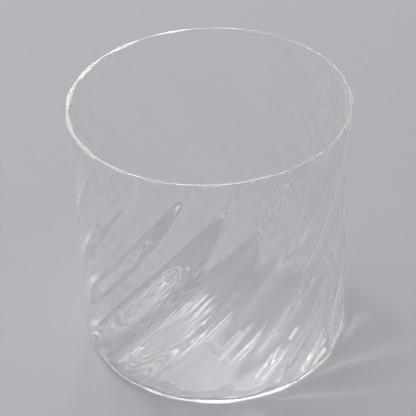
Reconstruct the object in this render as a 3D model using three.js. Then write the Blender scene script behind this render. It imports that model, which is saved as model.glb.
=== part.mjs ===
// Hand-blown glass cup with swirled optic ribs, as three zones of glass that meet face to face:
// the base that it stands on, the thin ribbed wall and the fire-polished rim.
// Millimetres, +Z up. The origin is the middle of the foot, on the surface that the cup stands on.
import * as THREE from "three";

// Overall shape
const HEIGHT = 81; // foot to the top of the rim
const RIM_DIAMETER = 81; // outside, midway between a rib and a hollow
const TAPER = 1; // how much narrower the cup is at the heel than at the rim
const WAIST = 0.4; // how far the wall bows in between heel and rim
const HEEL_RADIUS = 3; // rounding from the wall to the foot

// Glass thickness
const RIM_WALL = 1; // wall at the rim
const HEEL_WALL = 1.5; // wall at the heel
const FLOOR = 1.5; // base, from the foot's plane to the edge of the floor inside
const CORNER_RADIUS = 1.5; // rounding inside, from the floor to the wall
const RIM_HEIGHT = 2; // zone that the flame has rounded

// Foot
const FOOT_WIDTH = 4; // flat ring that touches the table
const PUNT_DEPTH = 2.5; // how far the middle of the base is pushed up, outside and inside

// Swirled ribs
const RIB_COUNT = 16;
const RIB_DEPTH = 0.5; // crest to hollow on the outside
const INNER_RIB_DEPTH = 0.5; // crest to hollow on the inside, where a rib swells inwards
const RIB_START = 6; // degrees from +X to a crest at the rim, before the spacing is made uneven
const TWIST_AT_FOOT = 110; // degrees per cup height that the ribs lean at the foot
const TWIST_AT_RIM = 70; // and at the rim, where the glass was pulled straighter
const UNEVENNESS = 10; // degrees that the hand-twisted ribs stray from an even spacing
const WIDEST_SPACING = 46; // degrees from +X to the side where the ribs lie furthest apart

// Fineness of the facets
const RIB_FACETS = 6;
const HEEL_STEPS = 5;
const CORNER_STEPS = 5;
const BASE_STEPS = 6;
const WALL_STEPS = 16;
const RIM_STEPS = 4;

const rimRadius = RIM_DIAMETER / 2;
const heelRadius = (RIM_DIAMETER - TAPER) / 2;
const columns = RIB_COUNT * RIB_FACETS;
const rimBottom = HEIGHT - RIM_HEIGHT;
const beadCentre = HEIGHT - RIM_WALL / 2;
const footOuter = heelRadius - HEEL_RADIUS;
const footInner = footOuter - FOOT_WIDTH;
const cornerTop = FLOOR + CORNER_RADIUS;

const { lerp, degToRad } = THREE.MathUtils;

// How far round the heel a height lies: 0 at the foot, 1 where the heel ends.
function heelTurn(z) {
  const drop = Math.max(0, 1 - z / HEEL_RADIUS);
  return Math.sqrt(1 - drop * drop);
}

function outerRadius(z) {
  const up = Math.max(0, (z - HEEL_RADIUS) / (HEIGHT - HEEL_RADIUS));
  const wall = lerp(heelRadius, rimRadius, up) - 4 * WAIST * up * (1 - up);
  return wall - HEEL_RADIUS * (1 - heelTurn(z));
}

function wallThickness(z) {
  return lerp(HEEL_WALL, RIM_WALL, Math.min(1, (z - FLOOR) / (rimBottom - FLOOR)));
}

function innerRadius(z) {
  const wallZ = Math.max(z, cornerTop);
  const drop = (wallZ - z) / CORNER_RADIUS;
  const rounding = CORNER_RADIUS * (1 - Math.sqrt(1 - drop * drop));
  return outerRadius(wallZ) - wallThickness(wallZ) - rounding;
}

// Angle that the ribs have turned through at a height, counted from the rim.
function twist(z) {
  const up = z / HEIGHT;
  const turned = TWIST_AT_FOOT * up + ((TWIST_AT_RIM - TWIST_AT_FOOT) / 2) * up * up;
  return degToRad(turned - (TWIST_AT_FOOT + TWIST_AT_RIM) / 2);
}

// Points of a profile: radius, height and how much of a rib's swelling the glass has there.
const outside = (z) => ({ r: outerRadius(z), z, rib: (heelTurn(z) * RIB_DEPTH) / 2 });
const inside = (z) => ({ r: innerRadius(z), z, rib: -INNER_RIB_DEPTH / 2 });
const plain = (r, z) => ({ r, z, rib: 0 });

const steps = (count, at) => Array.from({ length: count + 1 }, (_, i) => at(i / count));
const heelHeights = steps(HEEL_STEPS, (t) => HEEL_RADIUS * (1 - Math.cos((t * Math.PI) / 2)));
const cornerHeights = steps(CORNER_STEPS, (t) => FLOOR + CORNER_RADIUS * (1 - Math.cos((t * Math.PI) / 2)));

// Turns a profile about the axis, with the ribs swelling out of it and twisted as the glass was.
function swirledLathe(profile) {
  const outline = profile.map((p) => new THREE.Vector2(p.r, p.z));
  const geometry = new THREE.LatheGeometry(outline, columns);
  const position = geometry.getAttribute("position");
  for (let v = 0; v < position.count; v++) {
    const { r, z, rib } = profile[v % profile.length];
    const column = Math.floor(v / profile.length) % columns;
    const even = (2 * Math.PI * column) / columns + degToRad(RIB_START);
    const uneven = degToRad(UNEVENNESS) * Math.sin(even - degToRad(WIDEST_SPACING));
    const angle = even + uneven + twist(z);
    const radius = r + rib * Math.cos((2 * Math.PI * column) / RIB_FACETS);
    position.setXYZ(v, radius * Math.cos(angle), radius * Math.sin(angle), z);
  }
  geometry.deleteAttribute("normal");
  geometry.deleteAttribute("uv");
  return geometry;
}

const closed = (profile) => [...profile, profile[0]];

function baseProfile() {
  const heel = heelHeights.filter((z) => z > 0 && z < FLOOR);
  const floorRadius = innerRadius(FLOOR);
  const pushedUp = (t, r, z) => plain(t * r, z + PUNT_DEPTH * (1 - t * t));
  return [
    ...steps(BASE_STEPS, (t) => pushedUp(t, footInner, 0)),
    outside(0),
    ...heel.map(outside),
    outside(FLOOR),
    inside(FLOOR),
    ...steps(BASE_STEPS, (t) => pushedUp(1 - t, floorRadius, FLOOR)).slice(1),
  ];
}

function wallProfile() {
  const heel = heelHeights.filter((z) => z > FLOOR && z < rimBottom);
  const start = Math.max(FLOOR, HEEL_RADIUS);
  const outer = steps(WALL_STEPS, (t) => lerp(start, rimBottom, t)).filter((z) => z > start);
  const inner = steps(WALL_STEPS, (t) => lerp(rimBottom, cornerTop, t));
  const corner = [...cornerHeights].reverse().slice(1);
  const up = [FLOOR, ...heel, ...outer];
  const down = [...inner, ...corner];
  return closed([...up.map(outside), ...down.map(inside)]);
}

// The flame leaves a half round on top of the rim, from its outer face over to its inner one.
function rimProfile() {
  const outerFace = outside(beadCentre);
  const innerFace = inside(beadCentre);
  const over = steps(RIM_STEPS, (t) => ({
    r: lerp(innerFace.r, outerFace.r, (1 + Math.cos(t * Math.PI)) / 2),
    z: beadCentre + (RIM_WALL / 2) * Math.sin(t * Math.PI),
    rib: lerp(innerFace.rib, outerFace.rib, (1 + Math.cos(t * Math.PI)) / 2),
  }));
  return closed([outside(rimBottom), ...over, inside(rimBottom)]);
}

function glass(name, profile, colour) {
  const material = new THREE.MeshStandardMaterial({
    color: colour,
    roughness: 0.03,
    metalness: 0,
    transparent: true,
    opacity: 0.35,
  });
  const mesh = new THREE.Mesh(swirledLathe(profile), material);
  mesh.name = name;
  return mesh;
}

const cup = new THREE.Group();
cup.add(glass("base", baseProfile(), 0xdfe8e6));
cup.add(glass("wall", wallProfile(), 0xe9eff0));
cup.add(glass("rim", rimProfile(), 0xeef3f4));

export default cup;
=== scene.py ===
"""Looks of a hand-blown glass cup with swirled optic ribs.

A blown cup is one gather of glass, so one seamless piece stands for the base, the wall and the rim of the
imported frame. Sizes are in millimetres and become metres in the mesh. +Z is up and the foot stands on z = 0.
"""
import logging
import math
from dataclasses import dataclass, field
from enum import Enum, IntEnum
from typing import Any

import bmesh
import bpy
from bmesh.types import BMesh, BMVert
from mathutils import Matrix, Vector


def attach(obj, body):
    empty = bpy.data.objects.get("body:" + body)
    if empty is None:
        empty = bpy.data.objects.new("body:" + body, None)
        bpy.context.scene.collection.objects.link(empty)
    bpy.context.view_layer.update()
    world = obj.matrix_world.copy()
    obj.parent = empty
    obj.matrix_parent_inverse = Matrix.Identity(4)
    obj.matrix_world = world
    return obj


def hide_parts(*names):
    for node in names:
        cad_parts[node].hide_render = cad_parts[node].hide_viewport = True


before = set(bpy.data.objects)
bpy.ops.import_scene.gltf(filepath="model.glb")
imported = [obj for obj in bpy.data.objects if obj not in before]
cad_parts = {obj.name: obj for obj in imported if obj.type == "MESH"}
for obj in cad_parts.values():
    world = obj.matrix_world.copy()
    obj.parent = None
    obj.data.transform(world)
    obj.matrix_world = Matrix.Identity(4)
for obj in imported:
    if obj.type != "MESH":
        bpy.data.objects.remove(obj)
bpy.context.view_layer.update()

LOG = logging.getLogger("glass_cup")
MM = 0.001
SAME_POINT = 1e-4
PHOTO_PIXELS = 416


class CadNode(Enum):
    """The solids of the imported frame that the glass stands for."""

    BASE = "base"
    WALL = "wall"
    RIM = "rim"


class Surface(IntEnum):
    """The stretches of the cup's half section, in the order in which they are drawn."""

    UNDERSIDE = 1
    FOOT = 2
    HEEL = 3
    OUTSIDE = 4
    LIP = 5
    INSIDE = 6
    CORNER = 7
    FLOOR = 8


EDGES: dict[Surface, int] = {
    Surface.UNDERSIDE: 30,
    Surface.FOOT: 5,
    Surface.HEEL: 20,
    Surface.OUTSIDE: 60,
    Surface.LIP: 12,
    Surface.INSIDE: 60,
    Surface.CORNER: 20,
    Surface.FLOOR: 30,
}


def linear(hex_colour: str) -> tuple[float, float, float, float]:
    """Turns an sRGB hex colour into a linear colour with full alpha.

    Args:
        hex_colour: A colour such as "#B4B5B9".

    Returns:
        Linear red, green, blue and alpha.
    """
    parts = [int(hex_colour[i : i + 2], 16) / 255 for i in (1, 3, 5)]
    red, green, blue = (c / 12.92 if c <= 0.04045 else ((c + 0.055) / 1.055) ** 2.4 for c in parts)
    return red, green, blue, 1.0


def add_node(
    tree: bpy.types.NodeTree, kind: str, settings: dict[str, Any], links: dict[str, Any]
) -> bpy.types.Node:
    """Adds a node to a tree, with its settings and its incoming links.

    Args:
        tree: The tree of a material or of the world.
        kind: The node's type.
        settings: Properties of the node, or else values of its input sockets, by name.
        links: Output sockets of other nodes, by the name of the input that each feeds.

    Returns:
        The new node.
    """
    node = tree.nodes.new(kind)
    for name, value in settings.items():
        if name in node.bl_rna.properties:
            setattr(node, name, value)
        else:
            node.inputs[name].default_value = value
    for name, socket in links.items():
        tree.links.new(socket, node.inputs[name])
    return node


@dataclass(frozen=True)
class SodaLimeGlass:
    """Clear soda-lime glass, blown and fire-polished.

    It gives the eye a colourless body, a breath greyer where the light runs far through it, a liquid gloss,
    and the slow waviness that hand-blown glass keeps.

    Attributes:
        tint: Colour that the glass gives to light at each surface.
        index: Index of refraction.
        polish: Roughness where the surface is clean.
        smear: Roughness where it is smeared.
        smear_from: Value of the smear pattern where the smears begin.
        smear_to: Value of the smear pattern where they are fully there.
        smear_spacing: Distance between smears.
        smear_detail: Finer layers in the smear pattern.
        wave_spacing: Distance between waves.
        wave_height: Height of the waves.
    """

    tint: str = "#FEFEFE"
    index: float = 1.5
    polish: float = 0.0
    smear: float = 0.02
    smear_from: float = 0.45
    smear_to: float = 0.75
    smear_spacing: float = 25.0
    smear_detail: float = 3.0
    wave_spacing: float = 7.0
    wave_height: float = 0.0005

    def material(self) -> bpy.types.Material:
        """Makes the glass with its smeared polish and its waviness.

        Returns:
            The finished material.
        """
        made = bpy.data.materials.new("fire_polished_soda_lime_glass")
        made.use_nodes = True
        tree = made.node_tree
        shader = tree.nodes["Principled BSDF"]
        shader.inputs["Base Color"].default_value = linear(self.tint)
        shader.inputs["IOR"].default_value = self.index
        shader.inputs["Transmission Weight"].default_value = 1.0
        place = add_node(tree, "ShaderNodeTexCoord", {}, {}).outputs["Object"]
        smears = add_node(
            tree,
            "ShaderNodeTexNoise",
            {"Scale": 1 / (self.smear_spacing * MM), "Detail": self.smear_detail},
            {"Vector": place},
        )
        roughness = add_node(
            tree,
            "ShaderNodeMapRange",
            {
                "From Min": self.smear_from,
                "From Max": self.smear_to,
                "To Min": self.polish,
                "To Max": self.smear,
            },
            {"Value": smears.outputs["Fac"]},
        )
        tree.links.new(roughness.outputs["Result"], shader.inputs["Roughness"])
        waves = add_node(
            tree,
            "ShaderNodeTexNoise",
            {"Scale": 1 / (self.wave_spacing * MM), "Detail": 0.0},
            {"Vector": place},
        )
        bump = add_node(
            tree,
            "ShaderNodeBump",
            {"Distance": self.wave_height * MM},
            {"Height": waves.outputs["Fac"]},
        )
        tree.links.new(bump.outputs["Normal"], shader.inputs["Normal"])
        return made


@dataclass(frozen=True)
class MattePaper:
    """Uncoated grey paper, which gives the eye an even, shadow-holding ground with no shine.

    Attributes:
        colour: The lighter shade.
        mottle: The darker shade that clouds it.
        mottle_spacing: Distance between clouds.
        mottle_detail: Finer layers in the clouds.
    """

    colour: str = "#ADAEB2"
    mottle: str = "#AAABAF"
    mottle_spacing: float = 180.0
    mottle_detail: float = 2.0

    def material(self) -> bpy.types.Material:
        """Makes the paper with a faint, slow mottling.

        Returns:
            The finished material.
        """
        made = bpy.data.materials.new("uncoated_grey_paper")
        made.use_nodes = True
        tree = made.node_tree
        shader = tree.nodes["Principled BSDF"]
        shader.inputs["Roughness"].default_value = 1.0
        shader.inputs["Specular IOR Level"].default_value = 0.0
        place = add_node(tree, "ShaderNodeTexCoord", {}, {}).outputs["Object"]
        mottle = add_node(
            tree,
            "ShaderNodeTexNoise",
            {"Scale": 1 / (self.mottle_spacing * MM), "Detail": self.mottle_detail},
            {"Vector": place},
        )
        shades = add_node(tree, "ShaderNodeValToRGB", {}, {"Fac": mottle.outputs["Fac"]})
        shades.color_ramp.elements[0].color = linear(self.mottle)
        shades.color_ramp.elements[1].color = linear(self.colour)
        tree.links.new(shades.outputs["Color"], shader.inputs["Base Color"])
        return made


@dataclass
class HalfSection:
    """The cup's half section: a wire in the XZ plane, from the axis under the base to the axis on the floor.

    Attributes:
        shell: The mesh that the wire is drawn in.
        tip: The wire's last vertex.
    """

    shell: BMesh = field(default_factory=bmesh.new)
    tip: BMVert | None = None

    def __post_init__(self) -> None:
        """Puts down the first vertex, on the axis at the foot's plane."""
        self.surface = self.shell.verts.layers.int.new("surface")
        self.tip = self.shell.verts.new((0.0, 0.0, 0.0))
        self.tip[self.surface] = Surface.UNDERSIDE

    def _mark(self, before: set[BMVert], surface: Surface) -> None:
        """Marks the vertices that a step added with the stretch that they lie on."""
        for vert in set(self.shell.verts) - before:
            vert[self.surface] = surface

    def run(self, radius: float, height: float, surface: Surface) -> None:
        """Draws a straight stretch to a point.

        Args:
            radius: The point's distance from the axis.
            height: The point's height.
            surface: The stretch that is drawn.
        """
        before = set(self.shell.verts)
        step = (Vector((radius, 0.0, height)) - self.tip.co) / EDGES[surface]
        for _ in range(EDGES[surface]):
            self.tip = bmesh.ops.extrude_vert_indiv(self.shell, verts=[self.tip])["verts"][0]
            bmesh.ops.translate(self.shell, vec=step, verts=[self.tip])
        self._mark(before, surface)

    def turn(self, radius: float, height: float, degrees: float, surface: Surface) -> None:
        """Draws an arc about a centre.

        Args:
            radius: The centre's distance from the axis.
            height: The centre's height.
            degrees: How far the arc turns, positive from +Z towards +X.
            surface: The stretch that is drawn.
        """
        before = set(self.shell.verts)
        spun = bmesh.ops.spin(
            self.shell,
            geom=[self.tip],
            cent=(radius, 0.0, height),
            axis=(0.0, 1.0, 0.0),
            angle=math.radians(degrees),
            steps=EDGES[surface],
        )
        self.tip = next(part for part in spun["geom_last"] if isinstance(part, BMVert))
        self._mark(before, surface)


@dataclass
class SwirledRibs:
    """The optic ribs that a dip mould gave the glass and a twist of the pipe swirled.

    Attributes:
        count: Ribs round the cup.
        depth: Crest to hollow on the outside.
        inner_depth: Crest to hollow on the inside, where a rib swells inwards.
        floor_ripple: Crest to hollow of the ripples that run on over the floor inside.
        underside_ripple: Crest to middle of the ripples under the base.
        ripple_fade: How quickly the ripples under the base die away at the foot.
        start: Degrees from +X to a crest at the rim, before the spacing is made uneven.
        twist_at_foot: Degrees per cup height that the ribs lean at the foot.
        twist_at_rim: Degrees per cup height that the ribs lean at the rim.
        unevenness: Degrees that the ribs stray from an even spacing.
        widest: Degrees from +X to the side where the ribs lie furthest apart.
    """

    count: int = 16
    depth: float = 0.5
    inner_depth: float = 0.5
    floor_ripple: float = 0.06
    underside_ripple: float = 0.06
    ripple_fade: float = 4.0
    start: float = 6.0
    twist_at_foot: float = 110.0
    twist_at_rim: float = 70.0
    unevenness: float = 10.0
    widest: float = 46.0

    def swell(self, around: float) -> float:
        """Gives how far out the glass swells at an angle: 1 on a crest, -1 in a hollow."""
        return math.cos(self.count * around)

    def swirl(self, around: float, up: float) -> float:
        """Gives the angle that a point of the plain shell ends at once the glass is twisted.

        Args:
            around: The point's angle on the plain shell.
            up: Its height as a share of the cup's height, below 0 under the base.

        Returns:
            The swirled angle, in radians.
        """
        even = around + math.radians(self.start)
        uneven = math.radians(self.unevenness) * math.sin(even - math.radians(self.widest))
        lean = self.twist_at_foot * up + (self.twist_at_rim - self.twist_at_foot) / 2 * up * up
        return even + uneven + math.radians(lean - (self.twist_at_foot + self.twist_at_rim) / 2)


@dataclass
class BlownCup:
    """The cup: foot, rounded heel, swirled wall, fire-polished lip and floor, as one shell of glass.

    Attributes:
        height: Foot to the top of the rim.
        rim_diameter: Outside, midway between a rib and a hollow.
        taper: How much narrower the cup is at the heel than at the rim.
        waist: How far the wall bows in between heel and rim.
        heel_radius: Rounding from the wall to the foot.
        rim_wall: Thickness at the rim.
        heel_wall: Thickness at the heel.
        floor: Base, from the foot's plane to the edge of the floor inside.
        corner_radius: Rounding inside, from the floor to the wall.
        foot_width: Flat ring that touches the table.
        punt_depth: How far the middle of the base is pushed up, outside and inside.
        rib_facets: Facets across one rib.
    """

    height: float = 81.0
    rim_diameter: float = 81.0
    taper: float = 1.0
    waist: float = 0.4
    heel_radius: float = 3.0
    rim_wall: float = 1.0
    heel_wall: float = 1.5
    floor: float = 1.5
    corner_radius: float = 1.5
    foot_width: float = 4.0
    punt_depth: float = 2.5
    rib_facets: int = 24
    ribs: SwirledRibs = field(default_factory=SwirledRibs)
    finish: SodaLimeGlass = field(default_factory=SodaLimeGlass)

    def __post_init__(self) -> None:
        """Works out the radii and heights that several stretches share."""
        self.heel_outer = (self.rim_diameter - self.taper) / 2
        self.foot_outer = self.heel_outer - self.heel_radius
        self.foot_inner = self.foot_outer - self.foot_width
        self.lip_height = self.height - self.rim_wall / 2
        self.lip_outer = self._outer(self.lip_height)
        self.corner_top = self.floor + self.corner_radius
        self.corner_outer = self._outer(self.corner_top) - self.heel_wall
        self.floor_radius = self.corner_outer - self.corner_radius

    def _outer(self, height: float) -> float:
        """Gives the outside radius of the unbowed wall at a height above the heel."""
        up = (height - self.heel_radius) / (self.height - self.heel_radius)
        return self.heel_outer + self.taper / 2 * up

    def _half_section(self) -> HalfSection:
        """Draws the half section with straight walls and a flat base.

        Returns:
            The wire, from the axis under the base round to the axis on the floor.
        """
        half = HalfSection()
        half.run(self.foot_inner, 0.0, Surface.UNDERSIDE)
        half.run(self.foot_outer, 0.0, Surface.FOOT)
        half.turn(self.foot_outer, self.heel_radius, -90, Surface.HEEL)
        half.run(self.lip_outer, self.lip_height, Surface.OUTSIDE)
        half.turn(self.lip_outer - self.rim_wall / 2, self.lip_height, -180, Surface.LIP)
        half.run(self.corner_outer, self.corner_top, Surface.INSIDE)
        half.turn(self.floor_radius, self.corner_top, 90, Surface.CORNER)
        half.run(0.0, self.floor, Surface.FLOOR)
        return half

    def _bow(self, half: HalfSection) -> None:
        """Bows the wall in at its waist and pushes the middle of the base up."""
        domes = {Surface.UNDERSIDE: self.foot_inner, Surface.FLOOR: self.floor_radius}
        for vert in half.shell.verts:
            radius = math.hypot(vert.co.x, vert.co.y)
            edge = domes.get(vert[half.surface])
            if edge is not None:
                vert.co.z += self.punt_depth * (1 - (radius / edge) ** 2)
                continue
            up = max(0.0, (vert.co.z - self.heel_radius) / (self.height - self.heel_radius))
            bowed = radius - 4 * self.waist * up * (1 - up)
            if radius > 0:
                vert.co.xy *= bowed / radius

    def _rib(self, surface: Surface, radius: float, height: float) -> tuple[float, float]:
        """Gives how strong the ribs are at a point of the section, and how far up the twist it lies.

        Args:
            surface: The stretch that the point lies on.
            radius: Its distance from the axis.
            height: Its height.

        Returns:
            The swelling on a crest, and the height that sets the twist.
        """
        ribs = self.ribs
        outer, inner, ripple = ribs.depth / 2, ribs.inner_depth / 2, ribs.floor_ripple / 2
        if surface == Surface.UNDERSIDE:
            out = radius / self.foot_inner
            fade = min(1.0, ribs.ripple_fade * (1 - out))
            return ribs.underside_ripple * out * fade, radius - self.foot_inner
        if surface == Surface.FOOT:
            return 0.0, 0.0
        if surface == Surface.HEEL:
            drop = 1 - height / self.heel_radius
            return outer * math.sqrt(max(0.0, 1 - drop * drop)), height
        if surface == Surface.OUTSIDE:
            return outer, height
        if surface == Surface.LIP:
            across = (radius - self.lip_outer + self.rim_wall) / self.rim_wall
            return inner + (outer - inner) * across, self.lip_height
        if surface == Surface.INSIDE:
            return inner, height
        if surface == Surface.CORNER:
            up = (height - self.floor) / self.corner_radius
            return inner * up + ripple * (1 - up), height
        return ripple * radius / self.floor_radius, self.floor + radius - self.floor_radius

    def _swirl(self, half: HalfSection) -> None:
        """Swells the ribs out of the plain shell, sideways at heel and lip, and twists them round the cup."""
        half.shell.normal_update()
        places = []
        for vert in half.shell.verts:
            around = math.atan2(vert.co.y, vert.co.x)
            radius = math.hypot(vert.co.x, vert.co.y)
            strength, turned_at = self._rib(vert[half.surface], radius, vert.co.z)
            swollen = vert.co + vert.normal * strength * self.ribs.swell(around)
            if vert[half.surface] in (Surface.HEEL, Surface.LIP):
                swollen.z = vert.co.z
            angle = self.ribs.swirl(around, turned_at / self.height)
            reach = math.hypot(swollen.x, swollen.y)
            places.append(Vector((reach * math.cos(angle), reach * math.sin(angle), swollen.z)))
        for vert, place in zip(half.shell.verts, places):
            vert.co = place

    def build(self) -> bpy.types.Object:
        """Turns the half section into the shell and gives it its bow, its hollow and its swirled ribs.

        Returns:
            The cup, in metres, with its place in its mesh.
        """
        half = self._half_section()
        shell = half.shell
        rib = 2 * math.pi / self.ribs.count
        about = {"cent": (0.0, 0.0, 0.0), "axis": (0.0, 0.0, 1.0)}
        wire = shell.verts[:] + shell.edges[:]
        bmesh.ops.spin(shell, geom=wire, angle=rib, steps=self.rib_facets, **about)
        sector = shell.verts[:] + shell.edges[:] + shell.faces[:]
        others = self.ribs.count - 1
        bmesh.ops.spin(shell, geom=sector, angle=rib * others, steps=others, use_duplicate=True, **about)
        bmesh.ops.remove_doubles(shell, verts=shell.verts[:], dist=SAME_POINT)
        bmesh.ops.recalc_face_normals(shell, faces=shell.faces[:])
        self._bow(half)
        self._swirl(half)
        bmesh.ops.scale(shell, vec=(MM, MM, MM), verts=shell.verts[:])
        for face in shell.faces:
            face.smooth = True
        mesh = bpy.data.meshes.new("blown_cup")
        shell.to_mesh(mesh)
        shell.free()
        cup = bpy.data.objects.new("blown_cup", mesh)
        bpy.context.scene.collection.objects.link(cup)
        return cup

    def dress(self, cup: bpy.types.Object) -> None:
        """Gives the cup its glass and stands it in for the frame's three solids."""
        cup.data.materials.append(self.finish.material())
        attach(cup, "root")
        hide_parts(*(node.value for node in CadNode))


@dataclass
class PaperSweep:
    """The paper that the cup stands on, wide enough to fill the view from above.

    Attributes:
        width: Side of the square sheet.
        drop: How far the sheet lies under the foot's plane.
    """

    width: float = 8000.0
    drop: float = 0.01
    finish: MattePaper = field(default_factory=MattePaper)

    def build(self) -> bpy.types.Object:
        """Lays the sheet just under the foot.

        Returns:
            The sheet.
        """
        sheet = bmesh.new()
        bmesh.ops.create_grid(sheet, x_segments=1, y_segments=1, size=self.width / 2 * MM)
        bmesh.ops.translate(sheet, vec=(0.0, 0.0, -self.drop * MM), verts=sheet.verts[:])
        mesh = bpy.data.meshes.new("paper_sweep")
        sheet.to_mesh(mesh)
        sheet.free()
        paper = bpy.data.objects.new("paper_sweep", mesh)
        bpy.context.scene.collection.objects.link(paper)
        return paper

    def dress(self, paper: bpy.types.Object) -> None:
        """Gives the sheet its paper."""
        paper.data.materials.append(self.finish.material())


@dataclass(frozen=True)
class RoundLamp:
    """A round lamp with an even face, aimed at the cup.

    Attributes:
        azimuth: Degrees from +X towards +Y.
        elevation: Degrees above the table.
        spread: Degrees from its middle to its edge, seen from the cup.
        radiance: How bright its face is, where 1 is a white wall in full light.
        distance: From the cup to its middle.
    """

    azimuth: float
    elevation: float
    spread: float
    radiance: float
    distance: float = 1200.0

    def hang(self) -> bpy.types.Object:
        """Hangs the lamp and turns its face to the cup.

        Returns:
            The lamp.
        """
        lamp = bpy.data.lights.new("round_lamp", "AREA")
        lamp.shape = "DISK"
        lamp.size = 2 * self.distance * math.tan(math.radians(self.spread)) * MM
        lamp.energy = self.radiance * math.pi * math.pi * (lamp.size / 2) ** 2
        across, up = math.radians(self.azimuth), math.radians(self.elevation)
        towards = Vector((math.cos(up) * math.cos(across), math.cos(up) * math.sin(across), math.sin(up)))
        hung = bpy.data.objects.new("round_lamp", lamp)
        hung.location = towards * self.distance * MM
        hung.rotation_euler = towards.to_track_quat("Z", "Y").to_euler()
        bpy.context.scene.collection.objects.link(hung)
        return hung


@dataclass
class Studio:
    """The plain room: even light from all round and four round lamps behind the cup.

    Attributes:
        room: Strength of the even light, where 1 alone would show a colour as it is written.
        bounces: Passes through glass that a ray may make, which clear glass needs to stay clear.
        diffuser: Broad soft lamp that the base mirrors as its bright left and front.
        loop_lamp: Small lamp that the base mirrors and the ribs draw out into bright loops.
        backdrop: Dim broad lamp low behind the cup, which lightens the ribs' insides.
        key: Compact lamp that gives the tight contact shadow and the bright arcs beside the cup.
    """

    room: float = 0.5
    bounces: int = 200
    diffuser: RoundLamp = RoundLamp(azimuth=138.0, elevation=65.0, spread=30.0, radiance=1.8)
    loop_lamp: RoundLamp = RoundLamp(azimuth=88.0, elevation=48.0, spread=4.0, radiance=7.5)
    backdrop: RoundLamp = RoundLamp(azimuth=115.0, elevation=34.0, spread=16.0, radiance=0.5)
    key: RoundLamp = RoundLamp(azimuth=130.0, elevation=55.0, spread=6.0, radiance=10.0)

    def light(self) -> None:
        """Sets the room's light, hangs the lamps and lets light through the glass."""
        scene = bpy.context.scene
        scene.world = bpy.data.worlds.new("studio")
        scene.world.use_nodes = True
        room = scene.world.node_tree.nodes["Background"]
        room.inputs["Color"].default_value = (1.0, 1.0, 1.0, 1.0)
        room.inputs["Strength"].default_value = self.room
        for lamp in (self.diffuser, self.loop_lamp, self.backdrop, self.key):
            lamp.hang()
        scene.cycles.max_bounces = self.bounces
        scene.cycles.glossy_bounces = self.bounces
        scene.cycles.transmission_bounces = self.bounces
        scene.cycles.sample_clamp_indirect = 0.0
        scene.cycles.blur_glossy = 0.0
        scene.cycles.use_guiding = True
        scene.cycles.use_surface_guiding = True
        scene.view_settings.view_transform = "Standard"


@dataclass
class PhotoCamera:
    """The camera at the photograph's viewing angle.

    Attributes:
        back: How far in front of the cup's axis it stands.
        up: How high it stands.
        yaw: Degrees that it looks to the right of +Y.
        pitch: Degrees that it looks down.
        roll: Degrees that it is tilted.
        focal_pixels: Focal length in pixels of the photograph.
        sensor: Width of the sensor.
        nearest: Distance before which nothing is drawn.
    """

    back: float = 353.97
    up: float = 312.85
    yaw: float = -0.22
    pitch: float = 37.32
    roll: float = -2.01
    focal_pixels: float = 1500.0
    sensor: float = 36.0
    nearest: float = 10.0

    def place(self) -> None:
        """Makes the camera and sets it as the scene's."""
        yaw, pitch = math.radians(self.yaw), math.radians(self.pitch)
        forward = Vector((math.sin(yaw) * math.cos(pitch), math.cos(yaw) * math.cos(pitch), -math.sin(pitch)))
        right = Vector((math.cos(yaw), -math.sin(yaw), 0.0))
        turned = Matrix((right, right.cross(forward), -forward)).transposed().to_4x4()
        lens = bpy.data.cameras.new("photo_camera")
        lens.sensor_width = self.sensor
        lens.lens = self.focal_pixels / PHOTO_PIXELS * self.sensor
        lens.clip_start = self.nearest * MM
        camera = bpy.data.objects.new("photo_camera", lens)
        stand = Matrix.Translation((0.0, -self.back * MM, self.up * MM))
        camera.matrix_world = stand @ turned @ Matrix.Rotation(math.radians(self.roll), 4, "Z")
        bpy.context.scene.collection.objects.link(camera)
        bpy.context.scene.camera = camera


def main() -> None:
    """Builds and dresses the cup, lays the paper, lights the room and places the camera."""
    logging.basicConfig(level=logging.INFO, format="%(name)s: %(message)s")
    design = BlownCup()
    cup = design.build()
    design.dress(cup)
    LOG.info("%s: %d faces for %s", cup.name, len(cup.data.polygons), [node.value for node in CadNode])
    sweep = PaperSweep()
    paper = sweep.build()
    sweep.dress(paper)
    LOG.info("%s: stage", paper.name)
    Studio().light()
    PhotoCamera().place()


if __name__ == "__main__":
    main()
